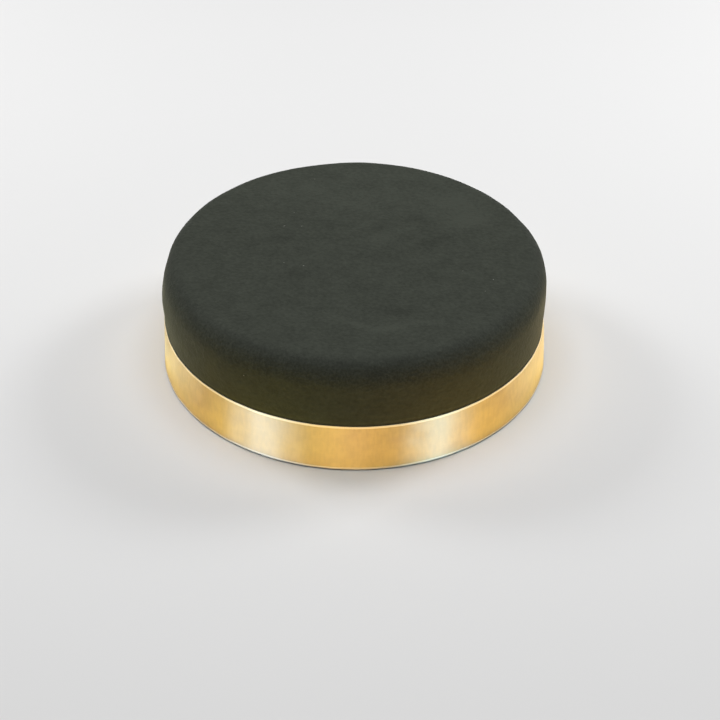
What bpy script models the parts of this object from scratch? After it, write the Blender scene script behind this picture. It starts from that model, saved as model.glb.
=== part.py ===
"""A round cake under smooth black rolled icing, with a gold satin ribbon round its foot.

The icing lies over the cake as one skin: a level top, a wide rounded shoulder and a side that
leans in a little as it rises. Hands have smoothed it, so it swells and dips by up to a
millimetre. The ribbon is one strip, drawn once round the foot, and its ends lap at the back.
Lengths are in metres, +Z is up, -Y is the front, and the origin is the middle of the base.
"""

import math

import bmesh
import bpy
import numpy as np

# The iced cake
FOOT_RADIUS = 0.0993  # the icing where it meets what it stands on, behind the ribbon
CAKE_HEIGHT = 0.0611
SHOULDER_RADIUS = 0.0984  # the side where the rounded shoulder begins
SHOULDER_DROP = 0.0140  # height of the rounded shoulder
SHOULDER_REACH = 0.0105  # how far in from the side the level top begins
FOOT_ROUNDING = 0.0010  # the icing turns under at its trimmed lower edge
LEDGE_HEIGHT = 0.0030  # the icing swells back out over this height above the ribbon
WAIST = 0.0006  # how far the tight ribbon presses the icing in at its upper edge

# The ribbon
RIBBON_WIDTH = 0.0257
RIBBON_THICKNESS = 0.0004
RIBBON_LIFT = 0.0005  # its lower edge above the base
RIBBON_GAP = 0.0003  # clearance to the icing, and between the lapped ends

# How finely the round shapes are divided. The ribbon's steps line up with the cake's.
STEPS_ROUND = 96
SHOULDER_STEPS = 9
TOP_STEPS = 14
RIBBON_STATIONS = 3  # across its width

# The ribbon's lap at the back, to the right, in steps round the cake
LAP_START = 18  # where the inner end is cut, counted from +X
LAP_STEPS = 3  # how far the outer end reaches past the inner end
LAP_CLIMB_STEPS = 3  # how long the outer end takes to rise onto the inner end

# Swells (+) and dips (-) of the side: angle in degrees, height, half width in degrees,
# half height and how far out. Angle 0 is +X and 90 is the back.
SIDE_MARKS = (
    (186, 0.0400, 15, 0.0060, 0.0008),
    (175, 0.0515, 12, 0.0045, -0.0007),
    (-6, 0.0270, 13, 0.0090, -0.0007),
    (12, 0.0540, 13, 0.0040, 0.0003),
    (104, 0.0585, 11, 0.0050, -0.0004),
    (78, 0.0585, 12, 0.0050, 0.0002),
    (228, 0.0420, 16, 0.0070, 0.0003),
    (305, 0.0430, 18, 0.0080, 0.0003),
)

# Swells (+) and dips (-) of the top: x, y, half width along its own length, half width
# across, the turn of its length from +X in degrees, and how high.
TOP_MARKS = (
    (0.012, -0.057, 0.020, 0.0070, 0, -0.0004),
    (0.033, 0.003, 0.019, 0.0065, 25, -0.0003),
    (0.002, 0.056, 0.012, 0.0090, -35, -0.0003),
    (0.027, 0.028, 0.011, 0.0060, 5, -0.0002),
    (-0.006, 0.022, 0.011, 0.0070, 20, -0.0002),
    (-0.029, -0.017, 0.010, 0.0060, 15, 0.0002),
    (0.057, 0.039, 0.014, 0.0090, 15, -0.0003),
    (-0.040, 0.030, 0.026, 0.0200, 0, 0.0002),
)

ICING_COLOUR = (0.045, 0.052, 0.047)
RIBBON_COLOUR = (0.73, 0.50, 0.21)


def bell(distance):
    """A smooth hump: 1 at its middle, and nearly 0 two half widths out."""
    return np.exp(-(distance**2))


def side_swell(angle, height):
    """How far the side stands out of the true round, as the sum of the hand marks."""
    out = np.zeros_like(angle)
    for degrees, middle, half_width, half_height, amount in SIDE_MARKS:
        turn = np.angle(np.exp(1j * (angle - math.radians(degrees))))
        around = turn / math.radians(half_width)
        upward = (height - middle) / half_height
        out += amount * bell(np.hypot(around, upward))
    return out


def top_swell(x, y):
    """How far the top stands above its level, as the sum of the hand marks."""
    up = np.zeros_like(x)
    for across, back, half_length, half_width, degrees, amount in TOP_MARKS:
        turn = math.radians(degrees)
        along = (x - across) * math.cos(turn) + (y - back) * math.sin(turn)
        aside = (y - back) * math.cos(turn) - (x - across) * math.sin(turn)
        up += amount * bell(np.hypot(along / half_length, aside / half_width))
    return up


def side_radius(height):
    """The round side: a straight lean from foot to shoulder, with a waist under the ribbon."""
    shoulder_start = CAKE_HEIGHT - SHOULDER_DROP
    lean = (FOOT_RADIUS - SHOULDER_RADIUS) / shoulder_start
    above = (height - RIBBON_LIFT - RIBBON_WIDTH) / LEDGE_HEIGHT
    rise = np.clip(above, 0, 1)
    pressed_in = np.clip(height / (RIBBON_LIFT + RIBBON_WIDTH), 0, 1)
    ledge = rise * rise * (3 - 2 * rise)
    return FOOT_RADIUS - lean * height - WAIST * pressed_in * (1 - ledge)


def cake_profile():
    """The outline that is turned, from the middle of the base round to the middle of the top."""
    shoulder_start = CAKE_HEIGHT - SHOULDER_DROP
    ribbon_top = RIBBON_LIFT + RIBBON_WIDTH
    level_radius = SHOULDER_RADIUS - SHOULDER_REACH
    heights = [FOOT_ROUNDING, RIBBON_LIFT + RIBBON_WIDTH / 2, ribbon_top]
    heights += [ribbon_top + LEDGE_HEIGHT * share for share in (1 / 3, 2 / 3, 1)]
    heights += list(np.linspace(ribbon_top + LEDGE_HEIGHT, shoulder_start, 5)[1:])
    points = [(0.0, 0.0), (FOOT_RADIUS - FOOT_ROUNDING, 0.0)]
    points += [(float(side_radius(height)), height) for height in heights]
    for step in range(1, SHOULDER_STEPS + 1):
        turn = math.pi / 2 * step / SHOULDER_STEPS
        radius = level_radius + SHOULDER_REACH * math.cos(turn)
        points.append((radius, shoulder_start + SHOULDER_DROP * math.sin(turn)))
    for step in range(1, TOP_STEPS + 1):
        points.append((level_radius * (1 - step / TOP_STEPS), CAKE_HEIGHT))
    return points


def turned_mesh(name, profile):
    """A closed solid made by spinning a profile once round the Z axis."""
    shape = bmesh.new()
    corners = [shape.verts.new((radius, 0, height)) for radius, height in profile]
    chain = [shape.edges.new(pair) for pair in zip(corners, corners[1:])]
    bmesh.ops.spin(
        shape,
        geom=corners + chain,
        axis=(0, 0, 1),
        cent=(0, 0, 0),
        angle=2 * math.pi,
        steps=STEPS_ROUND,
    )
    bmesh.ops.remove_doubles(shape, verts=shape.verts, dist=1e-6)
    bmesh.ops.recalc_face_normals(shape, faces=shape.faces)
    mesh = bpy.data.meshes.new(name)
    shape.to_mesh(mesh)
    shape.free()
    return mesh


def leave_hand_marks(mesh):
    """Moves the side in and out and the top up and down, and keeps the base flat."""
    points = np.empty(len(mesh.vertices) * 3)
    mesh.vertices.foreach_get("co", points)
    x, y, z = points.reshape(-1, 3).T
    radius = np.hypot(x, y)
    level_radius = SHOULDER_RADIUS - SHOULDER_REACH
    on_side = np.clip(radius / level_radius, 0, 1) ** 4 * (z > 0)
    grown = 1 + side_swell(np.arctan2(y, x), z) * on_side / np.maximum(radius, 1e-6)
    on_top = np.clip((z - CAKE_HEIGHT + SHOULDER_DROP) / SHOULDER_DROP, 0, 1)
    lifted = z + top_swell(x, y) * on_top
    moved = np.column_stack([x * grown, y * grown, lifted])
    mesh.vertices.foreach_set("co", moved.ravel())
    mesh.update()


def ribbon_mesh(name):
    """A strip swept round the foot. Each section is a thin rectangle that leans as the icing
    does, and the last stretch climbs over the first so that the two ends lap."""
    steps = STEPS_ROUND + LAP_STEPS
    count = np.arange(steps + 1)
    angle = 2 * math.pi / STEPS_ROUND * (LAP_START + count)
    climb = np.clip((count - STEPS_ROUND + LAP_CLIMB_STEPS) / LAP_CLIMB_STEPS, 0, 1)
    lift_out = (RIBBON_THICKNESS + RIBBON_GAP) * climb * climb * (3 - 2 * climb)
    heights = RIBBON_LIFT + np.linspace(0, RIBBON_WIDTH, RIBBON_STATIONS)
    section = [(height, RIBBON_THICKNESS) for height in heights]
    section += [(height, 0.0) for height in heights[::-1]]
    shape = bmesh.new()
    rings = []
    for height, out in section:
        level = np.full_like(angle, height)
        radius = side_radius(level) + side_swell(angle, level) + RIBBON_GAP + out + lift_out
        places = zip(radius * np.cos(angle), radius * np.sin(angle), level)
        rings.append([shape.verts.new(place) for place in places])
    for ring, following in zip(rings, rings[1:] + rings[:1]):
        for step in range(steps):
            corners = (ring[step], ring[step + 1], following[step + 1], following[step])
            shape.faces.new(corners)
    for end in (0, steps):
        shape.faces.new([ring[end] for ring in rings])
    bmesh.ops.recalc_face_normals(shape, faces=shape.faces)
    mesh = bpy.data.meshes.new(name)
    shape.to_mesh(mesh)
    shape.free()
    return mesh


def plain_material(name, colour, roughness, metallic=0.0):
    material = bpy.data.materials.new(name)
    material.use_nodes = True
    surface = material.node_tree.nodes["Principled BSDF"]
    surface.inputs["Base Color"].default_value = (*colour, 1)
    surface.inputs["Roughness"].default_value = roughness
    surface.inputs["Metallic"].default_value = metallic
    return material


def add_piece(name, mesh, material, sharp_degrees):
    """Links a mesh as one named object, shaded smooth except at its real edges."""
    mesh.materials.append(material)
    mesh.shade_smooth()
    mesh.set_sharp_from_angle(angle=math.radians(sharp_degrees))
    piece = bpy.data.objects.new(name, mesh)
    bpy.context.scene.collection.objects.link(piece)
    return piece


def add_iced_cake():
    mesh = turned_mesh("iced_cake", cake_profile())
    leave_hand_marks(mesh)
    icing = plain_material("black_icing", ICING_COLOUR, roughness=0.62)
    return add_piece("iced_cake", mesh, icing, sharp_degrees=40)


def add_satin_ribbon():
    satin = plain_material("gold_satin", RIBBON_COLOUR, roughness=0.35, metallic=0.3)
    mesh = ribbon_mesh("satin_ribbon")
    return add_piece("satin_ribbon", mesh, satin, sharp_degrees=40)


def main():
    for leftover in list(bpy.data.objects):
        bpy.data.objects.remove(leftover)
    add_iced_cake()
    add_satin_ribbon()


main()
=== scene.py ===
"""Finishes a round cake: black rolled icing smoothed by hand, and a gold satin ribbon round its foot.

Each piece is a surface of two parameters, worked out as whole arrays from a few named sizes.
Lengths are in metres, +Z is up, -Y is the front, and the origin is the middle of the base.
"""

import math

import bmesh
import bpy
import numpy as np
from bpy.props import FloatProperty, FloatVectorProperty, PointerProperty
from mathutils import Matrix, Vector


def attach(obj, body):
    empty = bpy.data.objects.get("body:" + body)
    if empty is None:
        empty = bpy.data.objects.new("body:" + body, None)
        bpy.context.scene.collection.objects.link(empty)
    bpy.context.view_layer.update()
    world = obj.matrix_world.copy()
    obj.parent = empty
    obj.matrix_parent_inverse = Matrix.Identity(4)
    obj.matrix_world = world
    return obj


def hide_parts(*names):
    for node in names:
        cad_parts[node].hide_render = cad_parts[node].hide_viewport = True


bl_info = {
    "name": "Ribboned Iced Cake",
    "version": (1, 0, 0),
    "blender": (4, 5, 0),
    "location": "3D View > Sidebar > Cake",
    "description": "Lays black rolled icing over a round cake and draws a satin ribbon round it",
    "category": "Add Mesh",
}

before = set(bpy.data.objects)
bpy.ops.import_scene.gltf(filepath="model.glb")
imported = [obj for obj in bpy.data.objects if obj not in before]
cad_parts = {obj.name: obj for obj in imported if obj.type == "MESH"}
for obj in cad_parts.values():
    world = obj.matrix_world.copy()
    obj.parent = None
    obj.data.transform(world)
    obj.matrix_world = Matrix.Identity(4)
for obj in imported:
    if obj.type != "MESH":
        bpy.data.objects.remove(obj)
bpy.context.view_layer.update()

# The cake's outline, as the solid under the icing has it
FOOT_RADIUS = 0.0993
CAKE_HEIGHT = 0.0611
SETTLED = 0.00018  # how far the finished top lies below the solid's
SHOULDER_RADIUS = 0.0984
SHOULDER_DROP = 0.0140
SHOULDER_REACH = 0.0105
FOOT_ROUNDING = 0.0010
LEDGE_HEIGHT = 0.0030
WAIST = 0.0006
SHOULDER_START = CAKE_HEIGHT - SHOULDER_DROP
LEVEL_RADIUS = SHOULDER_RADIUS - SHOULDER_REACH  # where the level top begins

# The ribbon's course
RIBBON_LIFT = 0.0005
RIBBON_WIDTH = 0.0257
RIBBON_TOP = RIBBON_LIFT + RIBBON_WIDTH
RIBBON_FACE = 0.00064  # how far the ribbon's face stands out from the cake's outline
LAP_LENGTH = 0.0195
LAP_RAMP = 0.020  # how long the outer end takes to climb onto the inner end
LAP_GAP = 0.00004  # between the lapped ends
LAP_ANGLE = math.radians(67.5)  # where the inner end is cut

# The ribbon's weave and wear
BEAD_INSET = 0.00045  # the middle of each woven edge's bead, in from the ribbon's edge
BEAD_HALF_WIDTH = 0.00028
EDGE_SQUARENESS = 60  # the power in the formula of the section: the higher, the squarer its ends
RIPPLE_WAVELENGTH = 0.016
RIPPLE_SLANT = 0.35  # how fast the ripples change across the ribbon, next to along it
PRESS_MARK = (0.3825, 0.60, 0.0045, 0.0030)  # length run, share of the width and its half sizes
PRESS_DEPTH = 0.00012
DENT_SHADE_SPOT = (0.3722, 0.64, 0.0030, 0.085)  # a spot painted darker as the press mark's shade: length run, share of the width, half sizes in both
DENT_SHADE_SHARE = 0.6  # how much of the shade's colour the painted spot takes
WOVEN_EDGE = (0.448, 0.462)  # where it sets in and is full: shares of the width from the middle
EDGE_ROUGHNESS = 0.6

# The smoothed icing's slow waves
ICING_WAVELENGTH = 0.022
WAVES_SET_IN = 0.004  # height above the ribbon over which they grow on the side

# How finely the icing's outline is divided
BASE_STEPS = 6
FOOT_STEPS = 4
BEHIND_RIBBON_STEPS = 14
LEDGE_STEPS = 12
SIDE_STEPS = 21
SHOULDER_STEPS = 36
TOP_STEPS = 52

# Swells (+) and dips (-) of the side: angle in degrees, height, half width in degrees,
# half height and how far out.
SIDE_MARKS = (
    (186, 0.0400, 15, 0.0060, 0.0008),
    (175, 0.0515, 12, 0.0045, -0.0007),
    (-6, 0.0270, 13, 0.0090, -0.0007),
    (12, 0.0540, 13, 0.0040, 0.0003),
    (104, 0.0585, 11, 0.0050, -0.0004),
    (78, 0.0585, 12, 0.0050, 0.0002),
    (228, 0.0420, 16, 0.0070, 0.0003),
    (305, 0.0430, 18, 0.0080, 0.0003),
)

# Swells (+) and dips (-) of the top: x, y, half width along its own length, half width
# across, the turn of its length from +X in degrees, and how high.
TOP_MARKS = (
    (0.012, -0.057, 0.020, 0.0070, 0, -0.0004),
    (0.033, 0.003, 0.019, 0.0065, 25, -0.0003),
    (0.002, 0.056, 0.012, 0.0090, -35, -0.0003),
    (0.027, 0.028, 0.011, 0.0060, 5, -0.0002),
    (-0.006, 0.022, 0.011, 0.0070, 20, -0.0002),
    (-0.029, -0.017, 0.010, 0.0060, 15, 0.0002),
    (0.057, 0.039, 0.014, 0.0090, 15, -0.0003),
    (-0.040, 0.030, 0.026, 0.0200, 0, 0.0002),
)

# Soft smears on the top, lighter (+) or darker (-) in colour: x, y, half
# length, half width, the turn of its length from +X in degrees, and how strong.
SMEARS = (
    (-0.011, -0.055, 0.0060, 0.0020, -38, 0.50),
    (0.003, -0.063, 0.0055, 0.0020, -25, 0.90),
    (0.016, -0.065, 0.0080, 0.0022, 10, 1.10),
    (0.034, -0.060, 0.0100, 0.0022, 8, 0.70),
    (0.058, 0.034, 0.0100, 0.0070, 20, 1.05),
    (0.052, 0.049, 0.0110, 0.0070, 0, 1.00),
    (0.012, 0.013, 0.0070, 0.0050, 20, 0.35),
    (-0.006, 0.048, 0.0080, 0.0050, 10, 0.35),
    (-0.024, 0.064, 0.0080, 0.0050, 15, 0.35),
    (0.024, 0.023, 0.0080, 0.0035, 15, 0.40),
    (0.008, 0.030, 0.0110, 0.0020, 38, 0.40),
    (0.038, -0.003, 0.0070, 0.0040, 10, 0.35),
    # The broad smear over the back of the top is a painted sheen: it draws the top lighter there
    (0.005, 0.066, 0.0750, 0.0280, 0, 0.45),
    (0.010, -0.049, 0.0060, 0.0040, 0, -0.45),
    (0.023, -0.051, 0.0070, 0.0035, 5, -0.50),
    (0.004, -0.033, 0.0070, 0.0045, 0, -0.35),
    (0.017, -0.003, 0.0070, 0.0045, 10, -0.40),
    (0.038, 0.011, 0.0110, 0.0030, 27, -0.50),
    (0.028, 0.033, 0.0060, 0.0035, 20, -0.35),
    (0.014, 0.024, 0.0050, 0.0035, 30, -0.30),
    (0.007, 0.065, 0.0060, 0.0050, 0, -0.40),
    (-0.014, 0.075, 0.0060, 0.0040, 0, -0.30),
    (-0.034, 0.067, 0.0070, 0.0040, 20, -0.35),
    (0.034, 0.068, 0.0070, 0.0040, -15, -0.35),
    (-0.030, -0.022, 0.0070, 0.0050, 20, -0.35),
    (-0.038, 0.014, 0.0070, 0.0050, 0, -0.35),
    (-0.010, 0.026, 0.0060, 0.0040, 15, -0.30),
)

# Grains of sugar on the top: x, y, half length, half width, and the turn of the length in degrees
TOP_GRAINS = (
    (-0.0323, 0.0383, 0.00030, 0.00026, 0),
    (-0.0370, 0.0250, 0.00045, 0.00036, 40),
    (-0.0280, 0.0250, 0.00028, 0.00024, 0),
    (-0.0223, 0.0724, 0.00034, 0.00026, 15),
    (-0.0260, -0.0120, 0.00055, 0.00024, 35),
    (-0.0360, -0.0090, 0.00028, 0.00024, 0),
    (0.0696, -0.0225, 0.00030, 0.00026, 0),
    (0.0650, -0.0330, 0.00028, 0.00022, 20),
    (0.0545, -0.0152, 0.00030, 0.00022, 0),
)

# Grains of sugar on the side: angle in degrees, height and half width
SIDE_GRAINS = ((-122.4, 0.0450, 0.00030),)
GRAIN_FLATNESS = 0.25  # how high a grain on the top stands, for its width


# ---------------------------------------------------------------- shapes


def bell(distance):
    """A smooth hump: e to the power of minus the squared distance, in half widths."""
    return np.exp(-(distance**2))


def ease(share):
    """A smooth step from 0 to 1: three times the share squared, less twice its cube."""
    share = np.clip(share, 0, 1)
    return share * share * (3 - 2 * share)


def side_swell(angle, height):
    """How far the side stands out of the true round: the sum of the side's hand marks."""
    out = np.zeros(np.broadcast(angle, height).shape)
    for degrees, middle, half_width, half_height, amount in SIDE_MARKS:
        turn = np.angle(np.exp(1j * (angle - math.radians(degrees))))
        out += amount * bell(np.hypot(turn / math.radians(half_width), (height - middle) / half_height))
    return out


def sum_of_marks(x, y, marks):
    """The sum of long soft humps, each turned its own way."""
    total = np.zeros_like(x)
    for across, back, half_length, half_width, degrees, amount in marks:
        turn = math.radians(degrees)
        along = (x - across) * math.cos(turn) + (y - back) * math.sin(turn)
        aside = (y - back) * math.cos(turn) - (x - across) * math.sin(turn)
        total += amount * bell(np.hypot(along / half_length, aside / half_width))
    return total


def slow_waves(points, wavelength, seed, count=24):
    """Soft unevenness between about -1 and 1: a sum of sine waves in random directions, each
    with a random start, whose lengths lie round the given wavelength."""
    draw = np.random.default_rng(seed)
    directions = draw.normal(size=(count, points.shape[-1]))
    directions /= np.linalg.norm(directions, axis=1, keepdims=True)
    directions *= (2 * math.pi / wavelength) * draw.uniform(0.6, 1.5, (count, 1))
    starts = draw.uniform(0, 2 * math.pi, count)
    return np.sin(points @ directions.T + starts).sum(axis=-1) / math.sqrt(count)


def icing_waves(points, unevenness):
    """The slow waves that smoothing by hand leaves, the same wherever two pieces meet."""
    return unevenness * slow_waves(points, ICING_WAVELENGTH, seed=4)


def side_radius(height):
    """The round side: a straight lean from foot to shoulder, with a waist under the ribbon."""
    lean = (FOOT_RADIUS - SHOULDER_RADIUS) / SHOULDER_START
    ledge = ease((height - RIBBON_TOP) / LEDGE_HEIGHT)
    return FOOT_RADIUS - lean * height - WAIST * np.clip(height / RIBBON_TOP, 0, 1) * (1 - ledge)


def steps_to(start, end, count):
    """Equal steps from one value to another, without the first value."""
    return np.linspace(start, end, count + 1)[1:]


def icing_outline(ribbon_thickness):
    """The icing's half section from the middle of the base to the middle of the top, as radii
    and heights: a level base, a turned-under foot, the side, a quarter ellipse and a level top.
    Behind the ribbon the side stands out as far as the ribbon's back."""
    foot_turn = np.linspace(-math.pi / 2, 0, FOOT_STEPS + 1)
    heights = np.concatenate([
        steps_to(FOOT_ROUNDING, RIBBON_TOP, BEHIND_RIBBON_STEPS),
        steps_to(RIBBON_TOP, RIBBON_TOP + LEDGE_HEIGHT, LEDGE_STEPS),
        steps_to(RIBBON_TOP + LEDGE_HEIGHT, SHOULDER_START, SIDE_STEPS),
    ])
    padding = RIBBON_FACE - ribbon_thickness
    pushed_out = padding * (1 - ease((heights - RIBBON_TOP) / (LEDGE_HEIGHT / 2)))
    turn = steps_to(0, math.pi / 2, SHOULDER_STEPS)
    foot = FOOT_RADIUS + padding - FOOT_ROUNDING
    radius = np.concatenate([
        np.linspace(0, foot, BASE_STEPS, endpoint=False),
        foot + FOOT_ROUNDING * np.cos(foot_turn),
        side_radius(heights) + pushed_out,
        LEVEL_RADIUS + SHOULDER_REACH * np.cos(turn),
        steps_to(LEVEL_RADIUS, 0, TOP_STEPS),
    ])
    height = np.concatenate([
        np.zeros(BASE_STEPS),
        FOOT_ROUNDING * (1 + np.sin(foot_turn)),
        heights,
        SHOULDER_START + SHOULDER_DROP * np.sin(turn),
        np.full(TOP_STEPS, CAKE_HEIGHT),
    ])
    return radius, height


def icing_surface(ribbon_thickness, unevenness, columns=600):
    """The icing as a grid of points, outline by turn: the half section turned about Z, then moved
    out by the side's marks and up by the top's, and uneven all over by a little."""
    radius, height = icing_outline(ribbon_thickness)
    angle = np.linspace(0, 2 * math.pi, columns, endpoint=False)
    radius, angle = np.meshgrid(radius, angle, indexing="ij")
    height = np.broadcast_to(height[:, None], radius.shape)
    on_side = np.clip(radius / LEVEL_RADIUS, 0, 1) ** 4 * (height > 0)
    on_top = np.clip((height - CAKE_HEIGHT + SHOULDER_DROP) / SHOULDER_DROP, 0, 1)
    flat = np.stack([radius * np.cos(angle), radius * np.sin(angle), height], axis=-1)
    waves = icing_waves(flat, unevenness)
    clear_of_ribbon = ease((height - RIBBON_TOP) / WAVES_SET_IN)
    out = radius + (side_swell(angle, height) + waves * clear_of_ribbon) * on_side
    up = height + (sum_of_marks(flat[..., 0], flat[..., 1], TOP_MARKS) + waves - SETTLED) * on_top
    return np.stack([out * np.cos(angle), out * np.sin(angle), up], axis=-1)


def ribbon_section(thickness, bead, stations=28):
    """The ribbon's closed section as heights across its width (0 to 1) and distances out from
    its back: two faces that meet in rounded edges, with a woven bead along each edge."""
    across = (1 - np.cos(np.linspace(0, math.pi, stations + 1))) / 2
    half = thickness / 2 * np.sqrt(np.clip(1 - np.abs(2 * across - 1) ** EDGE_SQUARENESS, 0, 1))
    from_edge = np.minimum(across, 1 - across) * RIBBON_WIDTH
    face = thickness / 2 + half + bead * bell((from_edge - BEAD_INSET) / BEAD_HALF_WIDTH)
    back = thickness / 2 - half
    return np.concatenate([across, across[-2:0:-1]]), np.concatenate([face, back[-2:0:-1]])


def ribbon_surface(thickness, bead, ripple, columns=760):
    """The ribbon as a grid of points, section by path: the section carried round the foot, held
    against the icing, with slight ripples, one press mark, and the last stretch climbing over
    the first. Returns the points, the length run and the share of the width at each."""
    across, out = ribbon_section(thickness, bead)
    sweep = np.linspace(0, 2 * math.pi + LAP_LENGTH / FOOT_RADIUS, columns)
    across, sweep = np.meshgrid(across, sweep, indexing="ij")
    out = np.broadcast_to(out[:, None], across.shape)
    angle = LAP_ANGLE + sweep
    length = sweep * FOOT_RADIUS
    ramp = LAP_RAMP / FOOT_RADIUS
    climb = ease((sweep - 2 * math.pi + ramp) / ramp)
    height = RIBBON_LIFT + RIBBON_WIDTH * across
    ripples = slow_waves(np.stack([length, RIPPLE_SLANT * height], axis=-1), RIPPLE_WAVELENGTH, seed=9)
    run, share, half_length, half_height = PRESS_MARK
    press = bell(np.hypot((length - run) / half_length, (across - share) * RIBBON_WIDTH / half_height))
    radius = side_radius(height) + side_swell(angle, height) + RIBBON_FACE - thickness + out
    radius = radius + climb * (thickness + LAP_GAP) + ripple * ripples - PRESS_DEPTH * press
    points = np.stack([radius * np.cos(angle), radius * np.sin(angle), height], axis=-1)
    return points, length, across


def top_grains(unevenness):
    """The middles of the grains on the icing's top, and their half length, half width, half
    height and heading."""
    x, y, half_length, half_width, degrees = (np.array(column) for column in zip(*TOP_GRAINS))
    flat = np.stack([x, y, np.full_like(x, CAKE_HEIGHT)], axis=-1)
    z = CAKE_HEIGHT - SETTLED + sum_of_marks(x, y, TOP_MARKS) + icing_waves(flat, unevenness)
    sizes = [half_length, half_width, GRAIN_FLATNESS * half_width, np.radians(degrees)]
    return np.stack([x, y, z], axis=-1), np.stack(sizes, axis=-1)


def side_grains():
    """The same for the round grains on the icing's side."""
    degrees, height, half = (np.array(column) for column in zip(*SIDE_GRAINS))
    angle = np.radians(degrees)
    radius = side_radius(height) + side_swell(angle, height)
    middles = np.stack([radius * np.cos(angle), radius * np.sin(angle), height], axis=-1)
    return middles, np.stack([half, half, half, angle], axis=-1)


def grains_surface(unevenness, rows=7, columns=12):
    """Each grain as a grid of points, ring by turn: a squashed ball, half sunk in the icing.
    Returns all the grains, one grid behind the other."""
    middles, sizes = (np.concatenate(pair) for pair in zip(top_grains(unevenness), side_grains()))
    rise = np.linspace(-math.pi / 2, math.pi / 2, rows)
    turn = np.linspace(0, 2 * math.pi, columns, endpoint=False)
    grain, rise, turn = np.meshgrid(np.arange(len(sizes)), rise, turn, indexing="ij")
    half_length, half_width, half_height, heading = sizes[grain].transpose(3, 0, 1, 2)
    along = half_length * np.cos(rise) * np.cos(turn)
    aside = half_width * np.cos(rise) * np.sin(turn)
    across = along * np.cos(heading) - aside * np.sin(heading)
    back = along * np.sin(heading) + aside * np.cos(heading)
    return middles[grain] + np.stack([across, back, half_height * np.sin(rise)], axis=-1)


# ---------------------------------------------------------------- meshes


def grid_faces(rows, columns, wrap_rows, wrap_columns):
    """The four-sided faces of a grid numbered row by row, as an array of corner numbers."""
    row = np.arange(rows if wrap_rows else rows - 1)
    column = np.arange(columns if wrap_columns else columns - 1)
    row, column = np.meshgrid(row, column, indexing="ij")
    next_row, next_column = (row + 1) % rows, (column + 1) % columns
    corners = [
        row * columns + column,
        row * columns + next_column,
        next_row * columns + next_column,
        next_row * columns + column,
    ]
    return np.stack(corners, axis=-1).reshape(-1, 4)


def smooth_mesh(name, points, faces):
    mesh = bpy.data.meshes.new(name)
    mesh.from_pydata(points.reshape(-1, 3), [], faces)
    mesh.shade_smooth()
    return mesh


def surface_mesh(name, points, wrap_rows, wrap_columns):
    """A smooth mesh from a grid of points."""
    return smooth_mesh(name, points, grid_faces(*points.shape[:2], wrap_rows, wrap_columns))


def grains_mesh(name, grids):
    """A smooth mesh of several closed grids, each with rings that shut at their poles."""
    faces = grid_faces(*grids.shape[1:3], wrap_rows=False, wrap_columns=True)
    firsts = np.arange(len(grids)) * grids.shape[1] * grids.shape[2]
    return smooth_mesh(name, grids, (faces + firsts[:, None, None]).reshape(-1, 4))


def close_up(mesh, merge_distance=1e-7):
    """Merges points at one place, caps open ends and turns every face outwards."""
    shape = bmesh.new()
    shape.from_mesh(mesh)
    bmesh.ops.remove_doubles(shape, verts=shape.verts, dist=merge_distance)
    bmesh.ops.holes_fill(shape, edges=shape.edges, sides=0)
    bmesh.ops.recalc_face_normals(shape, faces=shape.faces)
    shape.to_mesh(mesh)
    shape.free()


def store_layout(mesh, along, across):
    """Keeps the length run and the share of the width at each point as the piece's UV map."""
    layout = mesh.uv_layers.new(name="ribbon_layout")
    corner_point = np.empty(len(mesh.loops), np.int32)
    mesh.loops.foreach_get("vertex_index", corner_point)
    pairs = np.stack([along.ravel(), across.ravel()], axis=-1)[corner_point]
    layout.data.foreach_set("uv", pairs.astype(np.float32).ravel())


def store_finish(mesh):
    """Keeps two shares at each point as attributes: how much the top's smears make it lighter or
    darker, on the top alone, with the painted sheen over its back; and where the grain's light and
    shade is painted in: a bell of the height about the middle of the shoulder, faded to nothing on the
    level top."""
    points = np.empty(len(mesh.vertices) * 3)
    mesh.vertices.foreach_get("co", points)
    x, y, z = points.reshape(-1, 3).T
    half_drop = SHOULDER_DROP / 2
    above_shoulder = (z - SHOULDER_START - half_drop) / half_drop
    past_top = ease((np.hypot(x, y) - LEVEL_RADIUS) / SHOULDER_REACH + 0.5)
    shares = {
        "top_marks_and_sheen": sum_of_marks(x, y, SMEARS) * ease(above_shoulder),
        "painted_grain_shading": bell(above_shoulder) * past_top,
    }
    for name, share in shares.items():
        mesh.attributes.new(name, "FLOAT", "POINT").data.foreach_set("value", share.astype(np.float32))


def add_piece(name, mesh, material, node):
    """Links a finished piece at the origin, riding on the cake and standing for its solid."""
    mesh.materials.append(material)
    piece = bpy.data.objects.new(name, mesh)
    bpy.context.scene.collection.objects.link(piece)
    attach(piece, "root")
    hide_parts(node)
    return piece


# ---------------------------------------------------------------- materials


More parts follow.
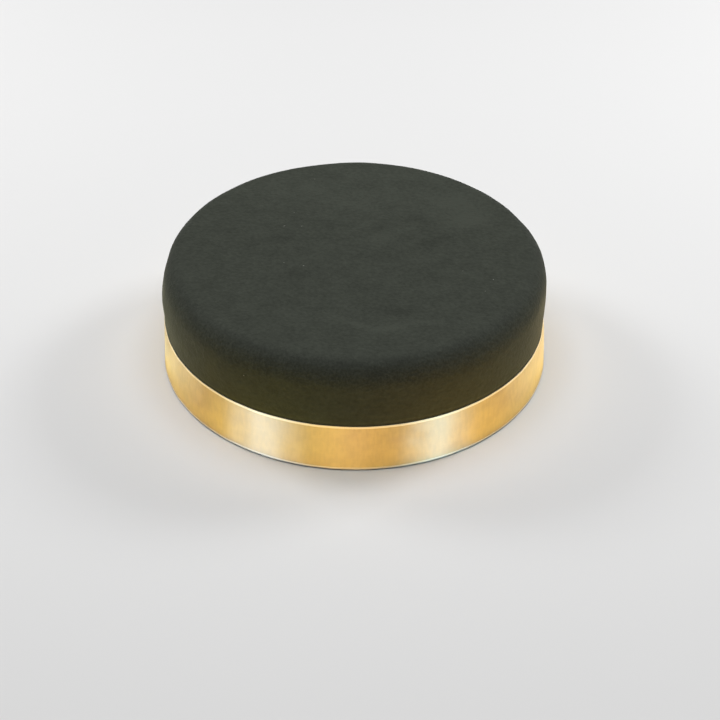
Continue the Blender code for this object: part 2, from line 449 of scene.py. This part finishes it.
class Recipe:
    """A short way to lay out one material's nodes."""

    def __init__(self, name):
        self.material = bpy.data.materials.new(name)
        self.material.use_nodes = True
        self.nodes = self.material.node_tree.nodes
        self.links = self.material.node_tree.links
        self.surface = self.nodes["Principled BSDF"]

    def add(self, kind, inputs=(), **settings):
        """A node with its settings, and its inputs set to a value or joined to a socket."""
        node = self.nodes.new(kind)
        for key, value in settings.items():
            setattr(node, key, value)
        for key, value in dict(inputs).items():
            self.feed(node.inputs[key], value)
        return node

    def feed(self, socket, value):
        if isinstance(value, bpy.types.NodeSocket):
            self.links.new(value, socket)
        else:
            socket.default_value = value

    def finish_with(self, **inputs):
        """Sets the shader's own sockets, written with underscores for spaces."""
        for key, value in inputs.items():
            self.feed(self.surface.inputs[key.replace("_", " ")], value)
        return self.material

    def object_place(self):
        return self.add("ShaderNodeTexCoord").outputs["Object"]

    def noise(self, place, scale=1.0, detail=3.0, roughness=0.5, stretch=None):
        """Cloudy noise from 0 to 1, finer the larger its scale or its stretch."""
        if stretch is not None:
            place = self.add("ShaderNodeMapping", {"Vector": place, "Scale": stretch}).outputs[0]
        inputs = {"Vector": place, "Scale": scale, "Detail": detail, "Roughness": roughness}
        return self.add("ShaderNodeTexNoise", inputs).outputs["Fac"]

    def about_zero(self, noise):
        """Noise moved from 0 to 1 to half below and half above zero."""
        return self.math("SUBTRACT", noise, 0.5)

    def between(self, value, low, high, to_low=0.0, to_high=1.0):
        """A smooth ramp of a value, from one range to another."""
        inputs = {"Value": value, "From Min": low, "From Max": high, "To Min": to_low, "To Max": to_high}
        return self.add("ShaderNodeMapRange", inputs, interpolation_type="SMOOTHSTEP").outputs[0]

    def blend(self, share, first, second):
        """One colour turning into another."""
        # The node's sockets 6 and 7 and its output 2 are those for colours
        node = self.add("ShaderNodeMix", data_type="RGBA")
        self.feed(node.inputs[0], share)
        self.feed(node.inputs[6], first if isinstance(first, bpy.types.NodeSocket) else (*first, 1))
        self.feed(node.inputs[7], second if isinstance(second, bpy.types.NodeSocket) else (*second, 1))
        return node.outputs[2]

    def math(self, operation, first, second=0.0, third=0.0):
        node = self.add("ShaderNodeMath", operation=operation)
        for socket, value in zip(node.inputs, (first, second, third)):
            self.feed(socket, value)
        return node.outputs[0]

    def weigh(self, *parts, base=0.0):
        """A base plus each value times its weight."""
        total = base
        for value, weight in parts:
            total = self.math("MULTIPLY_ADD", value, weight, total)
        return total

    def spot(self, place, middle, half_size):
        """A soft round or oval spot: 1 at its middle and 0 two half sizes out."""
        offset = self.add("ShaderNodeVectorMath", {0: place, 1: middle}, operation="SUBTRACT").outputs[0]
        scaled = self.add("ShaderNodeVectorMath", {0: offset, 1: half_size}, operation="DIVIDE").outputs[0]
        distance = self.add("ShaderNodeVectorMath", {0: scaled}, operation="LENGTH").outputs["Value"]
        return self.between(distance, 0, 2, 1, 0)

    def bump(self, height, distance, under=None):
        """A relief of the given depth, laid over another one."""
        inputs = {"Height": height, "Distance": distance, "Strength": 1.0}
        node = self.add("ShaderNodeBump", inputs)
        if under is not None:
            self.feed(node.inputs["Normal"], under)
        return node.outputs["Normal"]


def rolled_icing_material(look):
    """Matte black sugar paste: a cool charcoal, lighter in soft patches and in smears on the top, with
    a painted sheen over the top's back, and a fine leathery grain whose light and shade on the shoulder is
    painted in as specks."""
    recipe = Recipe("rolled_icing")
    place = recipe.object_place()
    marks_and_sheen = recipe.add("ShaderNodeAttribute", attribute_name="top_marks_and_sheen").outputs["Fac"]
    painted_grain_shading = recipe.add("ShaderNodeAttribute", attribute_name="painted_grain_shading").outputs["Fac"]
    pores = recipe.noise(place, scale=480, detail=3, roughness=0.65)
    patches = recipe.about_zero(recipe.noise(place, scale=110, detail=2))
    # Painted light and shade of the grain: lighter and darker specks, on the shoulder alone
    grain_shade_speckle = recipe.about_zero(recipe.noise(place, scale=950, detail=2, roughness=0.6))
    grain_shade_speckle = recipe.math("MULTIPLY", grain_shade_speckle, painted_grain_shading)
    pitting = recipe.about_zero(pores)
    share = recipe.weigh((marks_and_sheen, 0.7), (patches, 0.85), (pitting, 1.8), (grain_shade_speckle, 3.2), base=0.5)
    colour = recipe.blend(share, look.icing_colour, look.bloom_and_sheen_colour)
    roughness = recipe.between(share, 0, 1, look.icing_roughness, look.icing_roughness + 0.10)
    grain = recipe.bump(pores, distance=0.00050)
    skin = recipe.bump(recipe.noise(place, scale=300, detail=2), distance=0.00030, under=grain)
    return recipe.finish_with(Base_Color=colour, Roughness=roughness, Normal=skin, Specular_IOR_Level=0.03)


def sugar_grain_material(look):
    """Pale grains of sugar, a little grey from the icing."""
    recipe = Recipe("sugar_grains")
    tone = recipe.noise(recipe.object_place(), scale=900, detail=2)
    colour = recipe.blend(tone, look.grain_colour, look.bloom_and_sheen_colour)
    return recipe.finish_with(Base_Color=colour, Roughness=0.5, Specular_IOR_Level=0.3)


def gold_satin_material(look):
    """Woven satin ribbon: champagne gold with its floats along the length, which draw each
    highlight out across the width, and a paler, duller woven edge along both sides."""
    recipe = Recipe("gold_satin")
    layout = recipe.add("ShaderNodeUVMap", uv_map="ribbon_layout").outputs[0]
    across = recipe.add("ShaderNodeSeparateXYZ", {"Vector": layout}).outputs[1]
    from_middle = recipe.math("ABSOLUTE", recipe.math("SUBTRACT", across, 0.5))
    edge = recipe.between(from_middle, *WOVEN_EDGE)
    floats = recipe.noise(layout, detail=3, stretch=(160, 60, 1))
    clouds = recipe.noise(layout, detail=3, stretch=(110, 4, 1))
    streaks = recipe.noise(layout, detail=3, stretch=(560, 4, 1))
    share = recipe.weigh((floats, 0.15), (clouds, 0.40), (streaks, 0.45))
    cloth = recipe.blend(recipe.between(share, 0.38, 0.62), look.satin_shade, look.satin_colour)
    # Painted shade: a darker spot at the press mark
    run, across_share, half_length, half_share = DENT_SHADE_SPOT
    shaded = recipe.spot(layout, (run, across_share, 0), (half_length, half_share, 1))
    shaded = recipe.math("MULTIPLY", shaded, DENT_SHADE_SHARE)
    colour = recipe.blend(edge, recipe.blend(shaded, cloth, look.dent_shade_colour), look.edge_colour)
    roughness = recipe.between(edge, 0, 1, look.satin_roughness, EDGE_ROUGHNESS)
    threads = recipe.bump(floats, distance=0.00004)
    ribs = recipe.noise(layout, detail=1, stretch=(2600, 6, 1))
    weave = recipe.bump(ribs, distance=0.000012, under=threads)
    return recipe.finish_with(
        Base_Color=colour,
        Roughness=roughness,
        Normal=weave,
        Anisotropic=0.90,
        Anisotropic_Rotation=0.25,
        Tangent=recipe.add("ShaderNodeTangent", direction_type="UV_MAP", uv_map="ribbon_layout").outputs[0],
        IOR=1.9,
    )


def floor_material(look):
    """Plain pale paper, a touch darker here and there."""
    recipe = Recipe("pale_floor")
    patches = recipe.noise(recipe.object_place(), scale=3, detail=2)
    tone = recipe.between(patches, 0.3, 0.7, 0.0, 0.15)
    colour = recipe.blend(tone, look.floor_colour, look.floor_shade)
    return recipe.finish_with(Base_Color=colour, Roughness=0.9, Specular_IOR_Level=0.0)


# ---------------------------------------------------------------- settings


def colour_setting(name, description, default):
    return FloatVectorProperty(
        name=name, description=description, default=default, size=3, subtype="COLOR", min=0, max=1
    )


def length_setting(name, description, default):
    return FloatProperty(
        name=name, description=description, default=default, min=0, unit="LENGTH", precision=5
    )


class IcedCakeSettings(bpy.types.PropertyGroup):
    """What a user may change in the icing."""

    unevenness: length_setting("Unevenness", "How far the smoothed icing waves in and out", 0.00006)
    icing_colour: colour_setting("Icing", "Colour of the icing where it is clean", (0.0366, 0.0402, 0.0328))
    # The lighter icing colour: for the patches, grain and smears, and for the painted sheen and painted
    # grain shading
    bloom_and_sheen_colour: colour_setting("Bloom and sheen", "Colour of the icing under its dusting", (0.0545, 0.0602, 0.0488))
    grain_colour: colour_setting("Grains", "Colour of the stray grains of sugar", (0.25, 0.25, 0.22))
    icing_roughness: FloatProperty(
        name="Roughness", description="How matte the icing is", default=0.55, subtype="FACTOR"
    )


class SatinRibbonSettings(bpy.types.PropertyGroup):
    """What a user may change in the ribbon."""

    thickness: length_setting("Thickness", "Thickness of the woven ribbon", 0.00025)
    bead: length_setting("Edge bead", "How far the woven edges stand proud", 0.00005)
    ripple: length_setting("Ripple", "How far the ribbon ripples off the icing", 0.00005)
    satin_colour: colour_setting("Satin", "Colour of the satin face", (0.456, 0.297, 0.070))
    satin_shade: colour_setting("Satin shade", "Colour between the threads", (0.377, 0.243, 0.052))
    edge_colour: colour_setting("Edge", "Colour of the woven edges", (0.88, 0.74, 0.50))
    # The colour of the spot painted at the press mark as its shade
    dent_shade_colour: colour_setting("Dent shade", "Colour of the small soiled spot", (0.36, 0.22, 0.06))
    satin_roughness: FloatProperty(
        name="Roughness", description="How broad the satin's highlights are", default=0.35, subtype="FACTOR"
    )


class StudioSettings(bpy.types.PropertyGroup):
    """What a user may change in the setting."""

    floor_colour: colour_setting("Floor", "Colour of the plain floor", (0.76, 0.76, 0.76))
    floor_shade: colour_setting("Floor shade", "What its patches darken to", (0.73, 0.73, 0.73))
    sky_strength: FloatProperty(name="Surround", description="Brightness of the white room", default=0.02)
    lens: FloatProperty(
        name="Lens", description="Focal length in millimetres on a 36 mm wide sensor", default=97.85
    )


# ---------------------------------------------------------------- stage

# Lights: name, angle round the cake in degrees, elevation in degrees, distance, width, height,
# watts and colour. Angle 270 is the front.
SOFTBOXES = (
    ("overhead_softbox", 90, 88, 2.00, 1.70, 1.30, 29.6, (1.00, 1.00, 1.00)),
    ("rear_left_softbox", 150, 35, 1.10, 0.35, 0.30, 4.2, (1.00, 1.00, 1.00)),
    ("rear_right_softbox", 30, 35, 1.10, 0.35, 0.30, 4.8, (1.00, 1.00, 1.00)),
)
# The upright strips of the gloss wall: their angles round the cake in degrees, and each one's
# elevation in degrees, distance, width and height
GLOSS_ANGLES = range(190, 351, 8)
GLOSS_STRIP = (9.5, 1.10, 0.155, 0.25)
# Where the light of the gloss wall swells: the middle's angle and the half width in degrees,
# watts a strip and colour
GLOSS_SWELLS = (
    (221.4, 11.7, 13.2, (0.77, 0.94, 1.00)),
    (314.6, 9.6, 14.3, (0.58, 0.97, 1.00)),
    (265.1, 13.5, 8.0, (1.00, 0.58, 0.18)),
)
# Warm light thrown up from beside the cake, low down: angle round the cake, watts and colour
LOW_GLOWS = (
    (180, 0.081, (1.00, 0.95, 0.50)),
    (210, 0.020, (1.00, 0.50, 0.05)),
    (240, 0.084, (1.00, 0.76, 0.00)),
    (300, 0.106, (1.00, 0.58, 0.00)),
    (330, 0.027, (1.00, 0.80, 0.20)),
    (360, 0.098, (1.00, 0.75, 0.28)),
)
GLOW_PLACE = 0.178  # how far out their middles lie
GLOW_SIZE = (0.15, 0.12)  # how long they are outwards, and how wide
GLOW_LIFT = 0.001  # all glows lie this far above the floor
# A weak round glow under the cake and 10 cm out all round it: its width both ways, watts, colour
RING_GLOW = ((0.40, 0.40), 0.035, (1.00, 0.64, 0.00))
# Small lights end to end round the foot: how many, how far out, how wide, watts each and colour
FOOT_RING = (30, 0.1052, 0.009, 0.00055, (1.00, 0.70, 0.00))
LIGHT_AIM = Vector((0, 0, 0.03))
CAMERA_PLACE = (0.00302, -0.83557, 0.61258)
CAMERA_PITCH = math.radians(36.55)  # how far it looks down
CAMERA_ROLL = math.radians(0.51)
SENSOR_WIDTH = 36  # millimetres
FLOOR_SIZE = 8.0


def add_floor(look):
    """A plain level square that fills the view."""
    side = np.array([-FLOOR_SIZE / 2, FLOOR_SIZE / 2])
    points = np.stack([*np.meshgrid(side, side, indexing="xy"), np.zeros((2, 2))], axis=-1)
    mesh = surface_mesh("floor", points, wrap_rows=False, wrap_columns=False)
    mesh.materials.append(floor_material(look))
    floor = bpy.data.objects.new("floor", mesh)
    bpy.context.scene.collection.objects.link(floor)


def set_room(strength):
    """A dim white surround, with the colours shown as they are."""
    world = bpy.data.worlds.new("white_room")
    world.use_nodes = True
    background = world.node_tree.nodes["Background"]
    background.inputs["Color"].default_value = (1, 1, 1, 1)
    background.inputs["Strength"].default_value = strength
    bpy.context.scene.world = world
    bpy.context.scene.view_settings.view_transform = "Standard"


def add_light(name, width, height, watts, colour):
    """An area light, still to be placed."""
    lamp = bpy.data.lights.new(name, "AREA")
    lamp.shape = "RECTANGLE"
    lamp.size = width
    lamp.size_y = height
    lamp.energy = watts
    lamp.color = colour
    light = bpy.data.objects.new(name, lamp)
    bpy.context.scene.collection.objects.link(light)
    return light


def add_softbox(name, angle, elevation, distance, width, height, watts, colour):
    """A light that faces the cake from a direction and a distance."""
    turn, rise = math.radians(angle), math.radians(elevation)
    direction = Vector((math.cos(turn) * math.cos(rise), math.sin(turn) * math.cos(rise), math.sin(rise)))
    light = add_light(name, width, height, watts, colour)
    light.rotation_euler = direction.to_track_quat("Z", "Y").to_euler()
    light.location = LIGHT_AIM + direction * distance
    return light


def add_glow(name, angle, place, size, watts, colour):
    """A light that lies on the floor beside the cake and faces up, out of sight."""
    turn = math.radians(angle)
    light = add_light(name, *size, watts, colour)
    light.rotation_euler = (math.pi, 0, turn)
    light.location = (place * math.cos(turn), place * math.sin(turn), GLOW_LIFT)
    light.visible_camera = False
    return light


def add_foot_ring():
    """Glows end to end in a narrow ring close round the foot."""
    count, place, width, watts, colour = FOOT_RING
    size = (width, 2 * math.pi * place / count)
    for number in range(count):
        angle = 360 * number / count
        add_glow(f"foot_glow_{number}", angle, place, size, watts, colour)


def add_ring_glow():
    """A round glow in the middle, which the cake covers but for a ring all round it."""
    light = add_glow("ring_glow", 0, 0, *RING_GLOW)
    light.data.shape = "DISK"


def add_gloss_wall(names):
    """A curved wall of upright strips in front of the cake, whose light swells and fades along
    it. Only the gloss of the named pieces picks it up."""
    lit = bpy.data.collections.new("lit_by_gloss_wall")
    for name in names:
        lit.objects.link(bpy.data.objects[name])
    for angle in GLOSS_ANGLES:
        light_sum = sum(
            bell((angle - middle) / half_width) * watts * np.array(colour)
            for middle, half_width, watts, colour in GLOSS_SWELLS
        )
        watts = light_sum.max()
        strip = add_softbox(f"gloss_strip_{angle}", angle, *GLOSS_STRIP, watts, light_sum / watts)
        strip.visible_diffuse = False
        strip.light_linking.receiver_collection = lit


def add_camera(lens):
    """The camera looks along +Y, pitched down and rolled a little about its line of sight."""
    forward = Vector((0, math.cos(CAMERA_PITCH), -math.sin(CAMERA_PITCH)))
    level = Vector((1, 0, 0))
    upright = level.cross(forward)
    right = math.cos(CAMERA_ROLL) * level + math.sin(CAMERA_ROLL) * upright
    up = math.cos(CAMERA_ROLL) * upright - math.sin(CAMERA_ROLL) * level
    turned = Matrix((right, up, -forward)).transposed().to_4x4()
    data = bpy.data.cameras.new("camera")
    data.sensor_width = SENSOR_WIDTH
    data.lens = lens
    camera = bpy.data.objects.new("camera", data)
    camera.matrix_world = Matrix.Translation(CAMERA_PLACE) @ turned
    bpy.context.scene.collection.objects.link(camera)
    bpy.context.scene.camera = camera


# ---------------------------------------------------------------- operators


class CAKE_OT_lay_icing(bpy.types.Operator):
    """Lay the black rolled icing over the cake"""

    bl_idname = "cake.lay_icing"
    bl_label = "Lay Icing"

    def execute(self, context):
        look = context.scene.iced_cake
        ribbon = context.scene.satin_ribbon
        points = icing_surface(ribbon.thickness, look.unevenness)
        mesh = surface_mesh("rolled_icing", points, wrap_rows=False, wrap_columns=True)
        close_up(mesh)
        store_finish(mesh)
        add_piece("rolled_icing", mesh, rolled_icing_material(look), "iced_cake")
        grains = grains_mesh("sugar_grains", grains_surface(look.unevenness))
        close_up(grains)
        add_piece("sugar_grains", grains, sugar_grain_material(look), "iced_cake")
        return {"FINISHED"}


class CAKE_OT_wrap_ribbon(bpy.types.Operator):
    """Draw the satin ribbon round the foot of the cake and lap its ends at the back"""

    bl_idname = "cake.wrap_ribbon"
    bl_label = "Wrap Ribbon"

    def execute(self, context):
        look = context.scene.satin_ribbon
        points, along, across = ribbon_surface(look.thickness, look.bead, look.ripple)
        mesh = surface_mesh("ribbon_band", points, wrap_rows=True, wrap_columns=False)
        store_layout(mesh, along, across)
        close_up(mesh)
        ribbon = add_piece("ribbon_band", mesh, gold_satin_material(look), "satin_ribbon")
        return {"FINISHED"}


class CAKE_OT_set_stage(bpy.types.Operator):
    """Set the plain floor, the soft lights and the camera"""

    bl_idname = "cake.set_stage"
    bl_label = "Set Stage"

    def execute(self, context):
        look = context.scene.cake_studio
        add_floor(look)
        set_room(look.sky_strength)
        for softbox in SOFTBOXES:
            add_softbox(*softbox)
        for angle, watts, colour in LOW_GLOWS:
            add_glow(f"low_glow_{angle}", angle, GLOW_PLACE, GLOW_SIZE, watts, colour)
        add_foot_ring()
        add_ring_glow()
        add_gloss_wall(["ribbon_band"])
        add_camera(look.lens)
        return {"FINISHED"}


class CAKE_PT_sidebar(bpy.types.Panel):
    """The cake's steps and settings"""

    bl_label = "Ribboned Iced Cake"
    bl_idname = "CAKE_PT_sidebar"
    bl_space_type = "VIEW_3D"
    bl_region_type = "UI"
    bl_category = "Cake"

    def draw(self, context):
        steps = (
            (CAKE_OT_lay_icing, context.scene.iced_cake),
            (CAKE_OT_wrap_ribbon, context.scene.satin_ribbon),
            (CAKE_OT_set_stage, context.scene.cake_studio),
        )
        for step, settings in steps:
            box = self.layout.box()
            for key in type(settings).__annotations__:
                box.prop(settings, key)
            box.operator(step.bl_idname)


CLASSES = (
    IcedCakeSettings,
    SatinRibbonSettings,
    StudioSettings,
    CAKE_OT_lay_icing,
    CAKE_OT_wrap_ribbon,
    CAKE_OT_set_stage,
    CAKE_PT_sidebar,
)


def register():
    for item in CLASSES:
        bpy.utils.register_class(item)
    bpy.types.Scene.iced_cake = PointerProperty(type=IcedCakeSettings)
    bpy.types.Scene.satin_ribbon = PointerProperty(type=SatinRibbonSettings)
    bpy.types.Scene.cake_studio = PointerProperty(type=StudioSettings)


def unregister():
    del bpy.types.Scene.cake_studio
    del bpy.types.Scene.satin_ribbon
    del bpy.types.Scene.iced_cake
    for item in reversed(CLASSES):
        bpy.utils.unregister_class(item)


def main():
    register()
    bpy.ops.cake.lay_icing()
    bpy.ops.cake.wrap_ribbon()
    bpy.ops.cake.set_stage()


if __name__ == "__main__":
    main()
